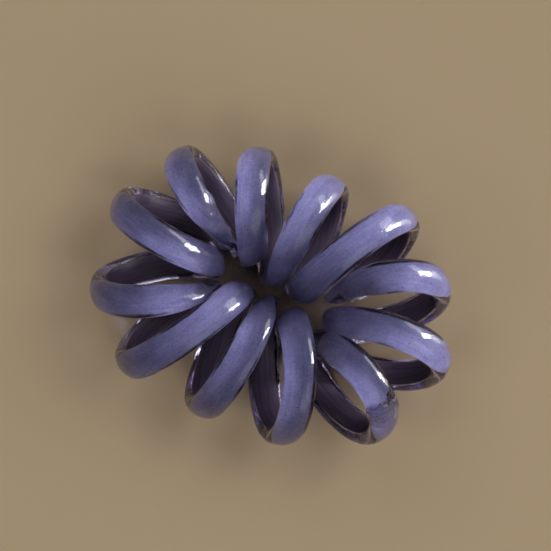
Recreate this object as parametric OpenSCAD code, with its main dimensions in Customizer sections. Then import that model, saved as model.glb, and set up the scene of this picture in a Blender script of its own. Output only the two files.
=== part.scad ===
// Spiral hair tie: a long cord wound into a closed coil, lying by itself on a flat surface.
// The cord is clear, with a thin coloured stripe along the side that faces into every turn. The stripe shows
// through the clear cord. The crown is the opposite side of the cord, which faces out of the turn.
// Each turn is a loop that stands on edge. Its outer end is out at the rim and its inner end is at the hole.
// +X runs along the coil's length, +Y along its width, and +Z is up. The turns run clockwise from the weld.

/* [Coil] */
// Length of the coil as it lies, over the cord
coil_l = 55; // [50:0.5:62]
// Width of the coil as it lies, over the cord
coil_w = 45.5; // [42:0.5:52]
// Height of the turns, over the cord
coil_h = 19.5; // [18:0.5:22]
// Length of the ring on which the inner ends of the turns stand
ring_l = 20; // [19:0.5:24]
// Width of the ring on which the inner ends of the turns stand
ring_w = 17; // [16:0.5:20]
// Clearance between two turns where they press together at the hole
nest_gap = 0.5; // [0.4:0.05:0.7]

/* [Cord] */
// Width of the cord, from flank to flank
cord_w = 5; // [4.4:0.1:5.2]
// Thickness of the cord, from its crown to its stripe
cord_t = 3.1; // [2.6:0.1:3.3]

/* [Stripe] */
// Width of the coloured stripe, from edge to edge
stripe_w = 3.6; // [2.6:0.1:4]
// Thickness of the coloured stripe along its middle
stripe_t = 0.4; // [0.25:0.05:0.7]
// Thickness of the coloured stripe at its two edges
stripe_edge_t = 0.15; // [0.1:0.05:0.25]
// Clearance between any two pieces that are bonded together
bond_gap = 0.02; // [0.01:0.01:0.05]

/* [Weld] */
// Length of the clear lump where the two ends of the cord are melted together
weld_l = 3.6; // [2:0.1:5]
// How far the lump stands out past the cord
weld_swell = 0.12; // [0:0.02:0.3]

/* [Hidden] */
// Columns of TURNS
OUTER_X = 0;
OUTER_Y = 1;
INNER_X = 2;
INNER_Y = 3;
LEAN = 4;
LIFT = 5;

// One row per turn, clockwise from the weld. The outer end is in shares of half the coil's length and width,
// and the inner end of its top limb in shares of half the ring's. The lean spreads the two limbs sideways, in
// shares of the cord's width. The lift raises the inner end, in shares of the cord's thickness.
TURNS = [
    // outer_x, outer_y, inner_x, inner_y, lean, lift
    [ 0.63, -0.96,  0.76, -0.87,  0.18,  0.05],
    [ 0.07, -0.99,  0.31, -0.41,  0.04,  0.00],
    [-0.39, -0.79, -0.06, -0.21, -0.02, -0.05],
    [-0.82, -0.48, -0.43,  0.07,  0.10,  0.18],
    [-0.99,  0.05, -0.96,  0.12,  0.22, -0.12],
    [-0.86,  0.67, -0.84,  0.61,  0.08, -0.05],
    [-0.51,  1.00, -0.69,  1.07,  0.00,  0.00],
    [-0.06,  1.00, -0.26,  0.75, -0.18, -0.10],
    [ 0.37,  0.79,  0.11,  0.38, -0.20, -0.07],
    [ 0.80,  0.55,  0.47,  0.08, -0.10,  0.11],
    [ 1.00,  0.05,  1.08,  0.05,  0.05, -0.15],
    [ 0.99, -0.49,  0.96, -0.51,  0.08, -0.02],
];
turn_count = len(TURNS);

// How much faster than even each rail of the coil runs at the outer ends, as a share
OUTER_EASE = 0.1;
INNER_EASE = 0.8;
// How sharply the twist of the cord gathers at the inner ends
TWIST_POWER = 2.5;
// How much wider the stripe lies round the cord where the cord is on edge, as a share of its angle
EDGE_REACH = 0.4;
// Place of the weld, in turns from the outer end of the first turn
WELD_AT = -0.12;
// Mesh steps: rings along a turn, points across the stripe, points round the bare side, and rings along the weld
RINGS = 18;
STRIPE_POINTS = 4;
BARE_POINTS = 11;
WELD_RINGS = 5;
// Small step in turns for measuring directions
STEP = 0.004;

function turn_name(kind, i) = str(kind, i < 10 ? "_0" : "_", i);
function unit(v) = v / norm(v);
function wrap(i) = (i % turn_count + turn_count) % turn_count;

// Smooth closed curve through the values of a list, where v counts the values
function through(list, v) =
    let (
        k = floor(v),
        f = v - k,
        a = list[wrap(k - 1)],
        b = list[wrap(k)],
        c = list[wrap(k + 1)],
        d = list[wrap(k + 2)]
    )
    b + f * (c - a) / 2 + f * f * (2 * a - 5 * b + 4 * c - d) / 2 + f * f * f * (3 * b - a - 3 * c + d) / 2;

outer_ends = [for (t = TURNS) [t[OUTER_X] * (coil_l - cord_t), t[OUTER_Y] * (coil_w - cord_t)] / 2];
inner_ends = [for (t = TURNS) [t[INNER_X] * ring_l, t[INNER_Y] * ring_w] / 2];
leans = [for (t = TURNS) t[LEAN] * cord_w];
lifts = [for (t = TURNS) t[LIFT] * cord_t];

// The coil's two rails, through the outer ends and through the inner ends. An outer end is at a whole u and
// the next inner end half a turn on.
function eased(u, ease) = u + ease * sin(360 * u) / (2 * PI);
function outer_rail(u) = through(outer_ends, eased(u, OUTER_EASE));
function inner_rail(u) = through(inner_ends, eased(u, INNER_EASE) + 0.5);
function outer_share(u) = (1 + cos(360 * u)) / 2;
function clockwise(v) = [v[1], -v[0]];

// Middle of the cord: it goes down at the outer end, in along the floor, up at the hole and out along the top
function middle(u) =
    let (
        o = outer_rail(u),
        i = inner_rail(u),
        s = outer_share(u),
        lean = through(leans, u) * sin(360 * u),
        lift = through(lifts, u + 0.5) * pow(1 - s, 2),
        plan = o * s + i * (1 - s) + lean * clockwise(unit(o - i))
    )
    [plan[0], plan[1], (coil_h - (coil_h - cord_t) * sin(360 * u)) / 2 + lift];

// Point on the axis that the turn goes round
function turn_centre(u) =
    let (plan = (outer_rail(u) + inner_rail(u)) / 2)
    [plan[0], plan[1], coil_h / 2];

// Twist that lets two oval cords stand side by side in the room that the next turn leaves at the hole
function nest_twist(u) =
    let (
        pitch = norm(through(inner_ends, u + 1) - through(inner_ends, u)),
        room = max(pitch - nest_gap, cord_t),
        share = (pow(room, -2) - pow(cord_w, -2)) / (pow(cord_t, -2) - pow(cord_w, -2))
    )
    asin(sqrt(min(max(share, 0), 1)));

// Place and directions of the cord's section, and how far it is twisted: [middle, crown, flank, turned]
function section_at(u) =
    let (
        along = unit(middle(u + STEP) - middle(u - STEP)),
        out = middle(u) - turn_centre(u),
        outward = unit(out - (out * along) * along),
        turned = nest_twist(u) * pow(1 - outer_share(u), TWIST_POWER),
        crown = outward * cos(turned) + cross(along, outward) * sin(turned)
    )
    [middle(u), crown, cross(along, crown), turned];

// Angles round the section start at its crown. The stripe faces into the turn, however the section is twisted.
function stripe_side(turned) = 180 - atan2(cord_t * sin(turned), cord_w * cos(turned));
function stripe_reach(turned) = asin(stripe_w / cord_w) * (1 + EDGE_REACH * pow(sin(turned), 2));
edge_margin = bond_gap * 360 / (PI * cord_t);

// Point on the section, as [towards the crown, towards the flank]
function oval(angle, inset) = [(cord_t / 2 - inset) * cos(angle), (cord_w / 2 - inset) * sin(angle)];

// Columns of a section. The share runs from -1 to 1 across the stripe, or from 0 to 1 round the bare side.
BARE = 0;
SHARE = 1;
INSET = 2;
stripe_shares = [for (i = [0:STRIPE_POINTS - 1]) 2 * i / (STRIPE_POINTS - 1) - 1];
function stripe_depth(share) = abs(share) < 0.99 ? stripe_t : stripe_edge_t;

core_section = concat(
    [for (s = stripe_shares) [false, s, stripe_depth(s) + bond_gap]],
    [for (i = [0:BARE_POINTS - 1]) [true, i / (BARE_POINTS - 1), 0]]
);
stripe_section = concat(
    [for (s = stripe_shares) [false, s, 0]],
    [for (i = [STRIPE_POINTS - 1:-1:0]) [false, stripe_shares[i], stripe_depth(stripe_shares[i])]]
);
function cord_section(swell) = [for (p = core_section) [p[BARE], p[SHARE], -swell]];

function point_angle(p, turned) =
    let (
        reach = stripe_reach(turned),
        bare_turn = 360 - 2 * (reach + edge_margin)
    )
    stripe_side(turned) + (p[BARE] ? reach + edge_margin + p[SHARE] * bare_turn : p[SHARE] * reach);

function ring_at(u, section) =
    let (place = section_at(u))
    [for (p = section)
        let (spot = oval(point_angle(p, place[3]), p[INSET]))
        place[0] + place[1] * spot[0] + place[2] * spot[1]];

// The cord ends on both sides of the weld, and each turn takes an equal share of what is left
weld_pace = norm(middle(WELD_AT + STEP) - middle(WELD_AT - STEP)) / (2 * STEP);
weld_half = weld_l / weld_pace / 2;
gap_half = bond_gap / weld_pace / 2;
cord_start = WELD_AT + weld_half;
cord_turns = turn_count - 2 * weld_half;
function turn_start(i) = cord_start + (i - 1) * cord_turns / turn_count + gap_half;
function turn_end(i) = cord_start + i * cord_turns / turn_count - gap_half;
function turn_rings(i, section) =
    [for (k = [0:RINGS]) ring_at(turn_start(i) + (turn_end(i) - turn_start(i)) * k / RINGS, section)];

// The coil is moved so that it rests on the floor with its middle at the origin
outline = [for (i = [1:turn_count], r = turn_rings(i, cord_section(0))) each r];
function column(list, n) = [for (p = list) p[n]];
low = [for (n = [0:2]) min(column(outline, n))];
high = [for (n = [0:2]) max(column(outline, n))];
resting = [-(low[0] + high[0]) / 2, -(low[1] + high[1]) / 2, -low[2]];

// Closed solid through rings of equal length. The stripe splits its quads the other way, so that its facets run
// parallel to the core's, which face them.
module swept(rings, mirrored = false) {
    n = len(rings[0]);
    last = (len(rings) - 1) * n;
    sides = [for (k = [0:len(rings) - 2], j = [0:n - 1])
        let (a = k * n + j, b = k * n + (j + 1) % n)
        each mirrored ? [[a, a + n, b], [b, a + n, b + n]] : [[a, a + n, b + n], [a, b + n, b]]];
    ends = [[for (j = [0:n - 1]) j], [for (j = [n - 1:-1:0]) last + j]];
    translate(resting)
        polyhedron(points = [for (r = rings) each r], faces = concat(sides, ends), convexity = 10);
}

// One turn of the clear core, with a shallow recess for the stripe
module core_turn(i) {
    color([0.72, 0.70, 0.74, 0.6])
        swept(turn_rings(i, core_section));
}

// One turn of the coloured stripe, seated in the core's recess
module stripe_turn(i) {
    color([0.47, 0.46, 0.72])
        swept(turn_rings(i, stripe_section), mirrored = true);
}

// The clear lump between the two ends of the cord
module weld() {
    start = WELD_AT - weld_half + gap_half;
    length = 2 * (weld_half - gap_half);
    color([0.62, 0.60, 0.66, 0.6])
        swept([for (k = [0:WELD_RINGS])
            ring_at(start + length * k / WELD_RINGS, cord_section(weld_swell * sin(180 * k / WELD_RINGS)))]);
}

for (i = [1:turn_count]) core_turn(i);
for (i = [1:turn_count]) stripe_turn(i);
weld();
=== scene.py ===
"""Spiral hair tie: a clear cord with a coloured stripe along its inner side, wound into twelve turns and
welded into a ring. The stripe shows through the cord, which spreads its colour over the whole width."""

import math

import bmesh
import bpy
import numpy as np
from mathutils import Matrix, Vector


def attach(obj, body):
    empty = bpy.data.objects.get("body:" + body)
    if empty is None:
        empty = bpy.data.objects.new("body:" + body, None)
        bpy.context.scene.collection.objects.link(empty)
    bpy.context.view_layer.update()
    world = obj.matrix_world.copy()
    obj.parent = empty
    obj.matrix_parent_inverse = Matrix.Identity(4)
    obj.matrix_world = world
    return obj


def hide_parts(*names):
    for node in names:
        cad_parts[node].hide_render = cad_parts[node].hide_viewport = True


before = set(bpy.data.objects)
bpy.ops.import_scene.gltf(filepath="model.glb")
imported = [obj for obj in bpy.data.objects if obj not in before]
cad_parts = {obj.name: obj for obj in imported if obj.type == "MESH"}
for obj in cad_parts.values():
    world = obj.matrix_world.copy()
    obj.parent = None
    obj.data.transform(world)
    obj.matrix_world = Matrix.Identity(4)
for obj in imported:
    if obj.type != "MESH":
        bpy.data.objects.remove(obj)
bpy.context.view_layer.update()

MM = 0.001

# Sizes of the part's source, in millimetres
COIL_L = 55
COIL_W = 45.5
COIL_H = 19.5
RING_L = 20
RING_W = 17
NEST_GAP = 0.5
CORD_W = 5
CORD_T = 3.1
STRIPE_W = 3.6
STRIPE_T = 0.4
STRIPE_EDGE_T = 0.15
WELD_L = 3.6
WELD_SWELL = 0.12

# How much faster than even each rail of the coil runs at the outer ends, as a share
OUTER_EASE = 0.1
INNER_EASE = 0.8
# How sharply the twist of the cord gathers at the inner ends
TWIST_POWER = 2.5
# How much wider the stripe lies round the cord where the cord is on edge, as a share of its angle
EDGE_REACH = 0.4
# Place of the weld, in turns from the outer end of the first turn
WELD_AT = -0.12
# Small step in turns for measuring directions
STEP = 0.004

# One row per turn, clockwise from the weld: outer end in shares of half the coil, inner end in shares of
# half the ring, lean in shares of the cord's width, lift in shares of its thickness. The numbers are the
# rounded result of a least-squares fit to points read from the photograph, and about a third of them were
# changed afterwards.
TURNS = np.array([
    # outer_x, outer_y, inner_x, inner_y, lean, lift
    [ 0.63, -0.96,  0.76, -0.87,  0.18,  0.05],
    [ 0.07, -0.99,  0.31, -0.41,  0.04,  0.00],
    [-0.39, -0.79, -0.06, -0.21, -0.02, -0.05],
    [-0.82, -0.48, -0.43,  0.07,  0.10,  0.18],
    [-0.99,  0.05, -0.96,  0.12,  0.22, -0.12],
    [-0.86,  0.67, -0.84,  0.61,  0.08, -0.05],
    [-0.51,  1.00, -0.69,  1.07,  0.00,  0.00],
    [-0.06,  1.00, -0.26,  0.75, -0.18, -0.10],
    [ 0.37,  0.79,  0.11,  0.38, -0.20, -0.07],
    [ 0.80,  0.55,  0.47,  0.08, -0.10,  0.11],
    [ 1.00,  0.05,  1.08,  0.05,  0.05, -0.15],
    [ 0.99, -0.49,  0.96, -0.51,  0.08, -0.02],
])
TURN_COUNT = len(TURNS)

OUTER_ENDS = TURNS[:, 0:2] * [COIL_L - CORD_T, COIL_W - CORD_T] / 2
INNER_ENDS = TURNS[:, 2:4] * [RING_L, RING_W] / 2
LEANS = TURNS[:, 4:5] * CORD_W
LIFTS = TURNS[:, 5:6] * CORD_T

# Angle from the middle of the stripe to its edge, round the cord
STRIPE_REACH = math.degrees(math.asin(STRIPE_W / CORD_W))

# Mesh steps: rings along a turn, points across the stripe, across the cord under it, and round the bare side
RINGS_PER_TURN = 80
STRIPE_STEPS = 36
UNDER_STEPS = STRIPE_STEPS // 2
CLEAR_STEPS = 36
# Clearance between the stripe's edge and the first point of the bare side, in the shares of cord_angle
BARE_MARGIN = 0.01
# Distance from the weld's middle at which the cord's surface starts to sink under the stripe, in
# millimetres. It takes as far again to sink.
SINK_FROM = 0.4

# The stripe's two melted ends, as (place across the cord, millimetres past the weld's middle). A place of 1
# is the flank on the side of the turn's opening.
UPPER_MELT = [
    (-0.72, -2.0), (-0.58, -1.7), (-0.45, -0.9), (-0.1, -0.45), (0.15, -0.2), (0.5, -0.8), (0.72, -1.2),
]
LOWER_MELT = [
    (-0.72, 0.35), (-0.5, 0.6), (-0.42, -0.7), (-0.1, -0.3), (0.15, -0.14), (0.5, -0.75), (0.72, -1.15),
]
# Depth of a melted end's coarse teeth and of its fine ones, in millimetres
COARSE_TEETH = 0.10
FINE_TEETH = 0.06
# Threads of colour that the melt has drawn out of the lower end: their length in millimetres, the place
# across the cord where they start, and how far from there they are drawn out in full, away from the opening
THREADS = 1.7
THREADS_FROM = -0.42
THREADS_EASE = 0.06
# Part of a turn over which the stripe's rings come to follow a melted end
MELT_REACH = 0.08

# Rings along the weld's collar, and points round it
WELD_RINGS = 36
WELD_POINTS = 180
# Thickness of the collar at its feathered ends, and its clearance over the cord, in millimetres
WELD_EDGE = 0.005
WELD_GAP = 0.008
# How far the collar's ends waver along the cord, coarsely and finely, in millimetres
WELD_WAVER = 0.3
WELD_FINE_WAVER = 0.15
# Weights of the collar's lumps and ridges, the range that their sum is held in, and the share of the
# swelling that it changes
WELD_LUMPS = 0.4
WELD_RIDGES = 1.5
WELD_RANGE = (-1.4, 1.6)
WELD_ROUGHNESS = 0.6

# Radiance of the room's walls, all alike away from the window, of its ceiling, and of each of the three
# panes that build up the bright wall in front
WALL = 0.9
CEILING = 1.5
WALL_LAYER = 0.75

# A light is given by its azimuth and elevation in degrees, distance, width and height in metres, and
# radiance
WINDOW = (18, 14, 3.0, 0.8, 1.6, 23)
COIL_PANES = [
    ("window", *WINDOW),
    ("window_side", 41, 23, 3.0, 1.3, 1.1, 4),
    ("wall_core", -45, 30, 3.0, 1.0, 1.0, WALL_LAYER),
    ("wall_middle", -45, 30, 3.0, 1.6, 1.6, WALL_LAYER),
    ("wall_rim", -45, 30, 3.0, 2.2, 2.2, WALL_LAYER),
]
SOFT_PANES = [
    ("fill_right", -5, 22, 2.5, 1.2, 1.2, 3.5),
    ("fill_back_right", 75, 22, 2.5, 1.2, 1.2, WALL),
    ("fill_back", 110, 22, 2.5, 1.2, 1.2, WALL),
    ("fill_back_high", 95, 50, 2.5, 1.2, 1.2, CEILING),
    ("fill_back_left", 150, 22, 2.5, 1.2, 1.2, WALL),
    ("fill_front_left", 230, 22, 2.5, 1.2, 1.2, WALL),
    ("fill_top", 0, 82, 2.5, 1.0, 1.0, CEILING),
]
FLOOR_PANES = [
    ("ceiling_right", 20, 46, 1.5, 1.0, 1.0, 1.8),
    ("ceiling_back", 120, 46, 1.5, 1.0, 1.0, 1.0),
    ("ceiling_left", 210, 46, 1.5, 1.0, 1.0, 0.9),
    ("ceiling_front", 300, 46, 1.5, 1.0, 1.0, 1.5),
]
# Point over the floor that the lights face, in metres
LIGHTS_FACE = Vector((0, 0, 0.01))

# The room's brightness by height, from the horizon to straight above, and by side, from the side away from
# the window to the window's side, each as (place, brightness)
ROOM_BY_HEIGHT = [(0.0, 0.35), (0.18, 0.8), (0.45, 1.0), (0.7, 0.35), (0.85, 0.03), (1.0, 0.0)]
ROOM_BY_SIDE = [(0.0, 0.16), (0.5, 0.32), (0.8, 0.65), (1.0, 1.0)]
ROOM_STRENGTH = 0.3
# Azimuth of the room's bright side
BRIGHT_SIDE = math.radians(27)

# What the camera faces, in millimetres from the coil's middle on the floor. The photograph's middle lies 6
# pixels to the right of the coil's and 21 above it, and a pixel is 0.1515 mm there.
CAMERA_AIM = (0.91, 3.18, COIL_H / 2)
CAMERA_ELEVATION = math.radians(84)
# Distance, sensor and lens in millimetres. The lens gives the photograph's scale at that distance.
CAMERA_DISTANCE = 350
SENSOR = 36
LENS = 150.9

# Sockets of the node that mixes colours, where a name would find another one
MIX_SHARE = 0
MIX_FIRST = 6
MIX_SECOND = 7
MIXED = 2


def wave(turns):
    return np.sin(2 * np.pi * turns)


def unit(vectors):
    return vectors / np.linalg.norm(vectors, axis=-1, keepdims=True)


def through(values, place):
    """Smooth closed curve through the rows of values, where place counts the rows."""
    place = np.asarray(place, float)
    row = np.floor(place).astype(int)
    part = (place - row)[..., None]
    a, b, c, d = (values[(row + n) % TURN_COUNT] for n in (-1, 0, 1, 2))
    square = 2 * a - 5 * b + 4 * c - d
    cube = 3 * b - a - 3 * c + d
    return b + part * (c - a) / 2 + part ** 2 * square / 2 + part ** 3 * cube / 2


def outer_share(u):
    """How much of the outer end is in a place on the cord: 1 there, and 0 at the inner end."""
    return ((1 + np.cos(2 * np.pi * u)) / 2)[..., None]


def rails(u):
    """Points of the coil's two rails, through the outer ends and through the inner ends of the turns."""
    outer = through(OUTER_ENDS, u + OUTER_EASE * wave(u) / (2 * np.pi))
    inner = through(INNER_ENDS, u + INNER_EASE * wave(u) / (2 * np.pi) + 0.5)
    return outer, inner


def middle(u):
    """Middle of the cord, where u counts the turns from the outer end of the first."""
    outer, inner = rails(u)
    share = outer_share(u)
    radial = unit(outer - inner)
    clockwise = np.stack([radial[..., 1], -radial[..., 0]], axis=-1)
    plan = outer * share + inner * (1 - share) + through(LEANS, u) * wave(u)[..., None] * clockwise
    lift = through(LIFTS, u + 0.5) * (1 - share) ** 2
    height = (COIL_H - (COIL_H - CORD_T) * wave(u)[..., None]) / 2 + lift
    return np.concatenate([plan, height], axis=-1)


def nest_twist(u):
    """Twist that lets two oval cords stand side by side in the room at the hole."""
    pitch = np.linalg.norm(through(INNER_ENDS, u + 1) - through(INNER_ENDS, u), axis=-1)
    room = np.maximum(pitch - NEST_GAP, CORD_T)
    share = (room ** -2 - CORD_W ** -2) / (CORD_T ** -2 - CORD_W ** -2)
    return np.arcsin(np.sqrt(np.clip(share, 0, 1)))


def section_twist(u):
    """Twist of the cord's section, which gathers at the inner ends."""
    return nest_twist(u) * (1 - outer_share(u)[..., 0]) ** TWIST_POWER


def cord_frames(u):
    """Middle of the cord, and the directions of its crown and its flank."""
    along = unit(middle(u + STEP) - middle(u - STEP))
    outer, inner = rails(u)
    plan = (outer + inner) / 2
    centre = np.concatenate([plan, np.full_like(plan[..., :1], COIL_H / 2)], axis=-1)
    out = middle(u) - centre
    outward = unit(out - np.sum(out * along, axis=-1, keepdims=True) * along)
    turned = section_twist(u)[..., None]
    crown = outward * np.cos(turned) + np.cross(along, outward) * np.sin(turned)
    return middle(u), crown, np.cross(along, crown)


def cord_points(u, angle, inset):
    """Points on the oval cord, at an angle in degrees from its crown and an inset below its surface."""
    place, crown, flank = cord_frames(u)
    turn = np.radians(angle)
    rise = ((CORD_T / 2 - inset) * np.cos(turn))[..., None]
    reach = ((CORD_W / 2 - inset) * np.sin(turn))[..., None]
    return place + crown * rise + flank * reach


def cord_angle(u, share):
    """Angle from the crown, in degrees. A share from -1 to 1 is across the stripe, and from 1 to 3 round the
    rest. The stripe faces into the turn, however the section is twisted."""
    turned = section_twist(u)
    side = 180 - np.degrees(np.arctan2(CORD_T * np.sin(turned), CORD_W * np.cos(turned)))
    reach = STRIPE_REACH * (1 + EDGE_REACH * np.sin(turned) ** 2)
    return side + np.where(share <= 1, share * reach, reach + (share - 1) * (180 - reach))


def cord_length(u):
    """Length of the cord up to each place in u, in millimetres."""
    steps = np.linalg.norm(np.diff(middle(u), axis=0), axis=1)
    return np.concatenate([[0], np.cumsum(steps)])


def around(ring):
    """Distance round a ring at each of its points, in millimetres, and back at its start."""
    closed = np.vstack([ring, ring[:1]])
    return np.concatenate([[0], np.cumsum(np.linalg.norm(np.diff(closed, axis=0), axis=1))])


def stripe_depth(share):
    """Thickness of the stripe, which thins out towards its two edges."""
    return STRIPE_EDGE_T + (STRIPE_T - STRIPE_EDGE_T) * (1 - share ** 4)


def weld_pace():
    """Length of the cord for each turn of u, at the weld."""
    before = middle(np.array(WELD_AT - STEP))
    after = middle(np.array(WELD_AT + STEP))
    return float(np.linalg.norm(after - before)) / (2 * STEP)


def melted_end(points, angle, threads=0.0):
    """How far a melted end of the stripe lies past the weld's middle, in turns, at angles round the cord.

    The points are (place across the cord, distance in millimetres), and the end is ragged between them.
    Threads reach back from it by their length, on one side of the cord.
    """
    across = np.sin(np.radians(angle))
    places, distances = zip(*points)
    # In the sines, the factors set how closely the teeth and threads stand, and the added numbers shift them.
    coarse = COARSE_TEETH * np.sin(19 * across + 0.7) * np.sin(47 * across + 1.9)
    fine = FINE_TEETH * np.sin(83 * across)
    side = np.clip((THREADS_FROM - across) / THREADS_EASE, 0, 1)
    comb = np.sqrt(np.clip(np.sin(40 * across) + 0.2, 0, 1))
    return (np.interp(across, places, distances) + (coarse + fine) - threads * side * comb) / weld_pace()


def swept_mesh(name, points, along, across, closed):
    """Mesh through rings of points, with a UV map in metres along and round the cord.

    It is made point by point, because the section's twist, the stripe's width and its melted ends change at
    every ring, which a curve with a bevel can't follow.
    """
    rings, count = points.shape[:2]
    ring = np.arange(rings if closed else rings - 1)[:, None]
    side = np.arange(count)[None, :]
    next_ring = (ring + 1) % rings
    next_side = (side + 1) % count
    corners = [ring * count + side, ring * count + next_side, next_ring * count + next_side,
               next_ring * count + side]
    quads = np.stack(corners, axis=-1).reshape(-1, 4)
    u0 = np.broadcast_to(along[ring], (len(ring), count))
    u1 = np.broadcast_to(along[ring + 1], (len(ring), count))
    v0 = np.broadcast_to(across[side], (len(ring), count))
    v1 = np.broadcast_to(across[side + 1], (len(ring), count))
    uv = np.stack([u0, v0, u0, v1, u1, v1, u1, v0], axis=-1).reshape(-1, 2)
    mesh = bpy.data.meshes.new(name)
    mesh.from_pydata((points.reshape(-1, 3) * MM).tolist(), [], quads.tolist())
    mesh.polygons.foreach_set("use_smooth", [True] * len(mesh.polygons))
    layer = mesh.uv_layers.new(name="cord")
    layer.data.foreach_set("uv", (uv * MM).ravel())
    return mesh


def add_piece(name, mesh, materials, nodes):
    """Object of a mesh, with its materials, that stands for nodes of the part's source."""
    piece = bpy.data.objects.new(name, mesh)
    bpy.context.scene.collection.objects.link(piece)
    for material in materials:
        mesh.materials.append(material)
    mesh.validate()
    mesh.update()
    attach(piece, "root")
    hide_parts(*nodes)
    return piece


def paint(code):
    """Linear colour of an sRGB hex value."""
    parts = [int(code[n:n + 2], 16) / 255 for n in (1, 3, 5)]
    return [p / 12.92 if p <= 0.04045 else ((p + 0.055) / 1.055) ** 2.4 for p in parts] + [1]


def add(tree, kind, sockets, output=None, **settings):
    """Add a node with its settings, socket values and links. It gives the node, or the output named."""
    made = tree.nodes.new("ShaderNode" + kind)
    for name, value in settings.items():
        setattr(made, name, value)
    for name, value in sockets.items():
        if isinstance(value, bpy.types.NodeSocket):
            tree.links.new(value, made.inputs[name])
        else:
            made.inputs[name].default_value = value
    return made if output is None else made.outputs[output]


def new_material(name, sockets):
    """Material with its tree and its shader, whose sockets get plain values."""
    material = bpy.data.materials.new(name)
    material.use_nodes = True
    tree = material.node_tree
    shader = tree.nodes["Principled BSDF"]
    for key, value in sockets.items():
        shader.inputs[key].default_value = value
    return material, tree, shader


def cord_pattern(tree, along_mm, around_mm):
    """Coordinates on the cord that count steps of the given size along it and round it."""
    cord = add(tree, "UVMap", {}, "UV", uv_map="cord")
    scale = (1 / (along_mm * MM), 1 / (around_mm * MM), 1)
    return add(tree, "Mapping", {"Vector": cord, "Scale": scale}, "Vector")


def solid_pattern(tree, size_mm):
    """Coordinates in the piece's space that count steps of the given size."""
    place = add(tree, "TexCoord", {}, "Object")
    return add(tree, "Mapping", {"Vector": place, "Scale": [1 / (size_mm * MM)] * 3}, "Vector")


def specks(tree, coordinates, radius, kept):
    """Small round specks in a share of the cells of a pattern."""
    cells = add(tree, "TexVoronoi", {"Vector": coordinates, "Scale": 1.0})
    spot = add(tree, "MapRange", {
        "Value": cells.outputs["Distance"],
        "From Min": radius * 0.6,
        "From Max": radius,
        "To Min": 1.0,
        "To Max": 0.0,
    }, "Result")
    pick = add(tree, "SeparateXYZ", {"Vector": cells.outputs["Color"]}, "X")
    chosen = add(tree, "Math", {0: pick, 1: kept}, 0, operation="LESS_THAN")
    return add(tree, "Math", {0: spot, 1: chosen}, 0, operation="MULTIPLY")


def weighed(tree, *parts):
    """Sum of values, each times its weight."""
    total = 0.0
    for value, weight in parts:
        total = add(tree, "Math", {0: value, 1: weight, 2: total}, 0, operation="MULTIPLY_ADD")
    return total


def clear_extruded_tpu():
    """Clear TPU, extruded and heat-set round a rod: water-clear, with a faint violet cast, high gloss, fine
    draw lines along it and a soft waviness that breaks up the highlights."""
    material, tree, shader = new_material("clear_extruded_tpu", {
        "Base Color": paint("#C8BEE0"),
        "Transmission Weight": 1.0,
        "IOR": 1.5,
        "Roughness": 0.03,
        "Coat Weight": 0.25,
        "Coat Roughness": 0.28,
        "Coat IOR": 1.5,
    })
    waves = add(tree, "TexNoise", {
        "Vector": solid_pattern(tree, 2.4),
        "Scale": 1.0,
        "Roughness": 0.35,
    }, "Fac")
    # Draw lines 0.02 mm apart don't show at this size, so they are drawn 0.3 mm apart.
    lines = add(tree, "TexNoise", {
        "Vector": cord_pattern(tree, 14.0, 0.3),
        "Scale": 1.0,
        "Detail": 3.0,
        "Roughness": 0.6,
    }, "Fac")
    # Here and there is a patch of tiny dents, which sparkle.
    dents = specks(tree, solid_pattern(tree, 0.45), 0.4, 0.6)
    cloud = add(tree, "TexNoise", {"Vector": solid_pattern(tree, 5.0), "Scale": 1.0, "Detail": 0.0}, "Fac")
    patches = add(tree, "MapRange", {"Value": cloud, "From Min": 0.66, "From Max": 0.72}, "Result")
    dents = add(tree, "Math", {0: dents, 1: patches}, 0, operation="MULTIPLY")
    rise = weighed(tree, (waves, 1.0), (lines, 0.035), (dents, -0.12))
    normal = add(tree, "Bump", {"Height": rise, "Distance": 0.16 * MM, "Strength": 1.0}, "Normal")
    tree.links.new(normal, shader.inputs["Normal"])
    return material


def clear_melted_tpu():
    """Clear TPU melted and pressed at the join: lumpy, with flow lines, less glossy. It lies over the violet
    cord, so that it has next to no colour of its own."""
    material, tree, shader = new_material("clear_melted_tpu", {
        "Base Color": paint("#E6E0F4"),
        "Transmission Weight": 1.0,
        "IOR": 1.5,
        "Roughness": 0.08,
    })
    flow = add(tree, "TexNoise", {
        "Vector": cord_pattern(tree, 2.4, 0.35),
        "Scale": 1.0,
        "Detail": 3.0,
        "Roughness": 0.6,
    }, "Fac")
    lumps = add(tree, "TexNoise", {"Vector": solid_pattern(tree, 0.5), "Scale": 1.0, "Detail": 3.0}, "Fac")
    rise = add(tree, "Math", {0: flow, 1: 0.8, 2: lumps}, 0, operation="MULTIPLY_ADD")
    normal = add(tree, "Bump", {"Height": rise, "Distance": 0.22 * MM, "Strength": 1.0}, "Normal")
    tree.links.new(normal, shader.inputs["Normal"])
    return material


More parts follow.
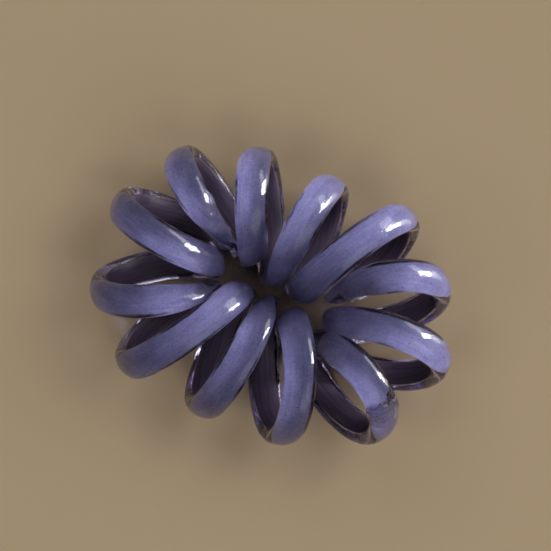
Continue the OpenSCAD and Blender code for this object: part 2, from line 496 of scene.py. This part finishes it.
def dark_end_spots(tree, across):
    """Where the stripe's last tenths of a millimetre turn dark, in ragged spots that keep away from the
    turn's opening."""
    from_end = add(tree, "Attribute", {}, "Fac", attribute_name="from_end")
    near = add(tree, "MapRange", {
        "Value": from_end,
        "From Min": 0.15 * MM,
        "From Max": 0.45 * MM,
        "To Min": 1.0,
        "To Max": 0.0,
    }, "Result")
    grain = add(tree, "TexNoise", {"Vector": solid_pattern(tree, 0.5), "Scale": 1.0, "Detail": 1.0}, "Fac")
    spots = add(tree, "MapRange", {"Value": grain, "From Min": 0.44, "From Max": 0.52}, "Result")
    side = add(tree, "MapRange", {"Value": across, "From Min": -0.25, "From Max": -0.1}, "Result")
    end_spots = add(tree, "Math", {0: near, 1: spots}, 0, operation="MULTIPLY")
    end_spots = add(tree, "Math", {0: end_spots, 1: side}, 0, operation="MULTIPLY")
    return add(tree, "MapRange", {"Value": end_spots, "From Min": 0.3, "From Max": 0.5}, "Result")


def pearl_tpu_stripe():
    """Pearl-pigmented TPU, co-extruded under the clear cord: periwinkle, cloudy, drawn into faint lengthwise
    streaks, with a few dark specks of pigment. It is bonded to the cord, so it has next to no gloss."""
    material, tree, shader = new_material("pearl_tpu_stripe", {
        "IOR": 1.5,
        "Specular IOR Level": 0.06,
        "Roughness": 0.35,
    })
    streaks = add(tree, "TexNoise", {"Vector": cord_pattern(tree, 9.0, 0.5), "Scale": 1.0}, "Fac")
    clouds = add(tree, "TexNoise", {"Vector": cord_pattern(tree, 4.0, 2.0), "Scale": 1.0}, "Fac")
    grain = add(tree, "TexNoise", {
        "Vector": solid_pattern(tree, 0.3),
        "Scale": 1.0,
        "Detail": 3.0,
        "Roughness": 0.7,
    }, "Fac")
    mottle = weighed(tree, (streaks, 0.25), (clouds, 0.35), (grain, 0.4))
    light = add(tree, "MapRange", {"Value": mottle, "From Min": 0.36, "From Max": 0.64}, "Result")
    pearl = add(tree, "Mix", {
        MIX_SHARE: light,
        MIX_FIRST: paint("#9398BE"),
        MIX_SECOND: paint("#C3C9E8"),
    }, MIXED, data_type="RGBA")
    # The specks of pigment are 0.2 to 0.3 mm across, and don't cover the pearl in full.
    speck = specks(tree, cord_pattern(tree, 0.9, 0.9), 0.16, 0.3)
    speck = add(tree, "MapRange", {"Value": speck, "To Max": 0.65}, "Result")
    pearl = add(tree, "Mix", {
        MIX_SHARE: speck,
        MIX_FIRST: pearl,
        MIX_SECOND: paint("#4A4780"),
    }, MIXED, data_type="RGBA")
    # Painted shade: the pearl darkens towards the stripe's two edges.
    across = add(tree, "Attribute", {}, "Fac", attribute_name="across")
    edge = add(tree, "Math", {0: across}, 0, operation="ABSOLUTE")
    edge = add(tree, "MapRange", {"Value": edge, "From Min": 0.89, "From Max": 0.97}, "Result")
    pearl = add(tree, "Mix", {
        MIX_SHARE: edge,
        MIX_FIRST: pearl,
        MIX_SECOND: paint("#1F1B38"),
    }, MIXED, data_type="RGBA")
    pearl = add(tree, "Mix", {
        MIX_SHARE: dark_end_spots(tree, across),
        MIX_FIRST: pearl,
        MIX_SECOND: paint("#100D26"),
    }, MIXED, data_type="RGBA")
    tree.links.new(pearl, shader.inputs["Base Color"])
    return material


def maroon_tpu_back():
    """Dark base coat of the stripe, bare on the side that faces into the turns: smooth maroon, with a faint
    sheen."""
    material, tree, shader = new_material("maroon_tpu_back", {
        "IOR": 1.5,
        "Specular IOR Level": 0.35,
        "Roughness": 0.42,
    })
    streaks = add(tree, "TexNoise", {
        "Vector": cord_pattern(tree, 7.0, 0.5),
        "Scale": 1.0,
        "Detail": 3.0,
        "Roughness": 0.6,
    }, "Fac")
    light = add(tree, "MapRange", {"Value": streaks, "From Min": 0.35, "From Max": 0.65}, "Result")
    colour = add(tree, "Mix", {
        MIX_SHARE: light,
        MIX_FIRST: paint("#3E3345"),
        MIX_SECOND: paint("#54475C"),
    }, MIXED, data_type="RGBA")
    tree.links.new(colour, shader.inputs["Base Color"])
    return material


def make_core(material):
    """The clear cord, all the way round. Under the stripe its surface runs inside the stripe's thickness."""
    bare = np.linspace(1 + BARE_MARGIN, 3 - BARE_MARGIN, CLEAR_STEPS)
    over = np.linspace(-1, 1, UNDER_STEPS)
    shares = np.concatenate([over, bare])
    sunk = np.concatenate([stripe_depth(over) / 2, np.zeros(len(bare))])
    u = WELD_AT + np.arange(RINGS_PER_TURN * TURN_COUNT) / RINGS_PER_TURN
    away = np.minimum(u - WELD_AT, WELD_AT + TURN_COUNT - u) * weld_pace()
    covered = np.clip(away / SINK_FROM - 1, 0, 1)[:, None]
    grid_u, grid_share = np.meshgrid(u, shares, indexing="ij")
    points = cord_points(grid_u, cord_angle(grid_u, grid_share), sunk * covered)
    along = cord_length(np.append(u, u[0] + TURN_COUNT))
    mesh = swept_mesh("clear_core", points, along, around(points[0]), closed=True)
    nodes = [f"core_turn_{n:02d}" for n in range(1, TURN_COUNT + 1)]
    return add_piece("clear_core", mesh, [material], nodes)


def make_weld(material):
    """The melted lump: a clear swollen collar round the join, lumpy, and feathered out at both ends."""
    angles = np.linspace(0, 360, WELD_POINTS, endpoint=False)
    share = np.linspace(0, 1, WELD_RINGS)[:, None]
    # In the sines, the factor of the angles counts the waves round the cord. The rest slants or shifts them.
    coarse = WELD_WAVER * np.sin(np.radians(3 * angles + 40))
    fine = WELD_FINE_WAVER * np.sin(np.radians(7 * angles))
    half = (WELD_L / 2 + (coarse + fine)) / weld_pace()
    hump = np.sin(np.pi * share) ** 2
    lumps = WELD_LUMPS * np.sin(9 * share + 2.5 * np.sin(np.radians(2 * angles)))
    ridges = np.sin(np.radians(23 * angles) + 3 * share) * np.sin(np.radians(5 * angles) + 1)
    relief = np.clip(lumps + WELD_RIDGES * ridges, *WELD_RANGE)
    thick = WELD_EDGE + WELD_SWELL * hump * (1 + WELD_ROUGHNESS * relief)
    outside = WELD_AT + (2 * share - 1) * half
    places = np.concatenate([outside, outside[::-1]])
    inset = np.concatenate([-WELD_GAP - thick, np.full(thick.shape, -WELD_GAP)])
    points = cord_points(places, np.broadcast_to(angles, places.shape), inset)
    run = cord_length(outside[:, 0])
    along = np.concatenate([run, run[::-1], run[:1]])
    mesh = swept_mesh("weld_collar", points, along, around(points[0]), closed=True)
    return add_piece("weld_collar", mesh, [material], ["weld"])


def close_ends(mesh, rings, count):
    """Close the stripe's two ends with quads from its front to its back."""
    bm = bmesh.new()
    bm.from_mesh(mesh)
    corners = list(bm.verts)
    for first, order in ((0, -1), ((rings - 1) * count, 1)):
        for j in range(STRIPE_STEPS - 1):
            quad = [corners[first + n] for n in (j, j + 1, count - 2 - j, count - 1 - j)]
            bm.faces.new(quad[::order])
    bm.to_mesh(mesh)
    bm.free()


def make_stripe(front, back):
    """The coloured stripe, from the weld round to the weld, with ragged melted ends."""
    over = np.linspace(-1, 1, STRIPE_STEPS)
    shares = np.concatenate([over, over[::-1]])
    inset = np.concatenate([np.zeros(STRIPE_STEPS), stripe_depth(over[::-1])])
    rings = RINGS_PER_TURN * TURN_COUNT + 1
    count = len(shares)
    even = WELD_AT + np.arange(rings)[:, None] / RINGS_PER_TURN
    near_start = np.clip(1 - (even - WELD_AT) / MELT_REACH, 0, 1)
    near_end = np.clip(1 - (WELD_AT + TURN_COUNT - even) / MELT_REACH, 0, 1)
    at_weld = cord_angle(np.array(WELD_AT), shares)
    start = near_start * melted_end(LOWER_MELT, at_weld, THREADS)
    end = near_end * melted_end(UPPER_MELT, at_weld)
    places = even + start + end
    points = cord_points(places, cord_angle(places, shares), inset)
    along = cord_length(places[:, 0])
    mesh = swept_mesh("coloured_stripe", points, along, around(points[0]), closed=False)
    sides = len(mesh.polygons)
    close_ends(mesh, rings, count)
    nodes = [f"stripe_turn_{n:02d}" for n in range(1, TURN_COUNT + 1)]
    piece = add_piece("coloured_stripe", mesh, [front, back], nodes)
    # The face into the turn, the two edges and the ends show the dark back, and the rest the pearl front.
    column = np.arange(len(mesh.polygons)) % count
    dark = (column < STRIPE_STEPS) | (column == count - 1)
    dark[sides:] = True
    mesh.polygons.foreach_set("material_index", dark.astype(int))
    from_end = np.minimum(places - places[0], places[-1] - places) * weld_pace() * MM
    across = np.broadcast_to(shares, places.shape)
    for name, values in (("from_end", from_end), ("across", across)):
        layer = mesh.attributes.new(name, "FLOAT", "POINT")
        layer.data.foreach_set("value", values.ravel())
    return piece


def rest_on_floor(pieces):
    """Move the meshes together, so that the coil's box is centred on the origin and stands on the floor."""
    points = np.concatenate([[v.co for v in p.data.vertices] for p in pieces])
    low, high = points.min(axis=0), points.max(axis=0)
    shift = Vector((-(low[0] + high[0]) / 2, -(low[1] + high[1]) / 2, -low[2]))
    for piece in pieces:
        for vertex in piece.data.vertices:
            vertex.co += shift
        piece.data.update()
    return shift


def add_floor():
    """Plain pale floor, a little glossy. Its colour is painted darker where the coil stands close over it,
    and
    in the hole: painted shade."""
    bpy.ops.object.select_all(action="DESELECT")
    bpy.ops.mesh.primitive_plane_add(size=1.6, location=(0, 0, 0))
    floor = bpy.context.object
    floor.name = "floor"
    material, tree, shader = new_material("pale_floor", {"Roughness": 0.2})
    # Painted shade: the colour darkens to near black where little open sky reaches the floor, round the coil
    # and in its hole.
    open_sky = add(tree, "AmbientOcclusion", {"Distance": 14 * MM}, "AO", samples=32)
    lit = add(tree, "MapRange", {"Value": open_sky, "From Min": 0.13, "From Max": 0.24}, "Result")
    colour = add(tree, "Mix", {
        MIX_SHARE: lit,
        MIX_FIRST: paint("#120E0A"),
        MIX_SECOND: paint("#D8BF9B"),
    }, MIXED, data_type="RGBA")
    tree.links.new(colour, shader.inputs["Base Color"])
    floor.data.materials.append(material)
    return floor


def direction_to(azimuth, elevation):
    """Direction from the coil, given in degrees."""
    a, e = math.radians(azimuth), math.radians(elevation)
    return Vector((math.cos(e) * math.cos(a), math.cos(e) * math.sin(a), math.sin(e)))


def add_pane(name, azimuth, elevation, distance, width, height, radiance, lit):
    """Rectangular light that faces the coil, given by its direction in degrees, and what it lights."""
    light = bpy.data.lights.new(name, "AREA")
    light.shape = "RECTANGLE"
    light.size = width
    light.size_y = height
    light.energy = radiance * math.pi * width * height
    lamp = bpy.data.objects.new(name, light)
    bpy.context.scene.collection.objects.link(lamp)
    direction = direction_to(azimuth, elevation)
    lamp.location = LIGHTS_FACE + direction * distance
    lamp.rotation_euler = direction.to_track_quat("Z", "Y").to_euler()
    lamp.light_linking.receiver_collection = lit
    return lamp


def shade_ramp(ramp, stops):
    """Grey stops of a colour ramp, as (place, brightness)."""
    elements = ramp.color_ramp.elements
    while len(elements) < len(stops):
        elements.new(1.0)
    for element, (place, value) in zip(elements, stops):
        element.position = place
        element.color = (value, value, value, 1)


def add_room_light():
    """Soft light of a room with its window on the right: bright low down on that side, dark overhead."""
    world = bpy.data.worlds.new("soft_room")
    bpy.context.scene.world = world
    world.use_nodes = True
    tree = world.node_tree
    direction = add(tree, "TexCoord", {}, "Generated")
    height = add(tree, "SeparateXYZ", {"Vector": direction}, "Z")
    band = add(tree, "ValToRGB", {"Fac": height})
    shade_ramp(band, ROOM_BY_HEIGHT)
    bright_side = (math.cos(BRIGHT_SIDE), math.sin(BRIGHT_SIDE), 0)
    side = add(tree, "VectorMath", {0: direction, 1: bright_side}, "Value", operation="DOT_PRODUCT")
    spread = add(tree, "MapRange", {"Value": side, "From Min": -1.0}, "Result")
    glow = add(tree, "ValToRGB", {"Fac": spread})
    shade_ramp(glow, ROOM_BY_SIDE)
    room = add(tree, "Mix", {
        MIX_SHARE: 1.0,
        MIX_FIRST: band.outputs["Color"],
        MIX_SECOND: glow.outputs["Color"],
    }, MIXED, data_type="RGBA", blend_type="MULTIPLY")
    background = tree.nodes["Background"]
    tree.links.new(room, background.inputs["Color"])
    background.inputs["Strength"].default_value = ROOM_STRENGTH


def lit_group(name, pieces):
    """Collection of what a light reaches."""
    group = bpy.data.collections.new(name)
    for piece in pieces:
        group.objects.link(piece)
    return group


def add_light(pieces, floor):
    """The coil and the floor are lit apart. The window is low, and its long shadow on the floor isn't in the
    photograph."""
    add_room_light()
    coil_lit = lit_group("coil_lit", pieces)
    for row in COIL_PANES:
        add_pane(*row, coil_lit)
    # The soft ones stand for the room's walls, which give no outlined reflections.
    for row in SOFT_PANES:
        add_pane(*row, coil_lit).visible_glossy = False
    # The floor's light comes from all round, and mirrors nothing over the camera's view of it.
    floor_lit = lit_group("floor_lit", [floor])
    for row in FLOOR_PANES:
        add_pane(*row, floor_lit).visible_glossy = False
    # The floor's slight gloss mirrors the window into the coil, and scatters none of it.
    mirrored = add_pane("window_in_floor", *WINDOW, floor_lit)
    mirrored.visible_diffuse = False


def add_camera(shift):
    """Camera over the coil, at the photograph's angle and scale."""
    camera = bpy.data.cameras.new("camera")
    camera.lens = LENS
    camera.sensor_width = SENSOR
    eye = bpy.data.objects.new("camera", camera)
    bpy.context.scene.collection.objects.link(eye)
    target = Vector(CAMERA_AIM) * MM + shift
    direction = Vector((0, -math.cos(CAMERA_ELEVATION), math.sin(CAMERA_ELEVATION)))
    eye.location = target + direction * (CAMERA_DISTANCE * MM)
    eye.rotation_euler = direction.to_track_quat("Z", "Y").to_euler()
    bpy.context.scene.camera = eye


core = make_core(clear_extruded_tpu())
weld = make_weld(clear_melted_tpu())
stripe = make_stripe(pearl_tpu_stripe(), maroon_tpu_back())
shift = rest_on_floor([core, stripe, weld])
floor = add_floor()
add_light([core, weld, stripe], floor)
add_camera(shift)
bpy.context.scene.view_settings.view_transform = "Standard"
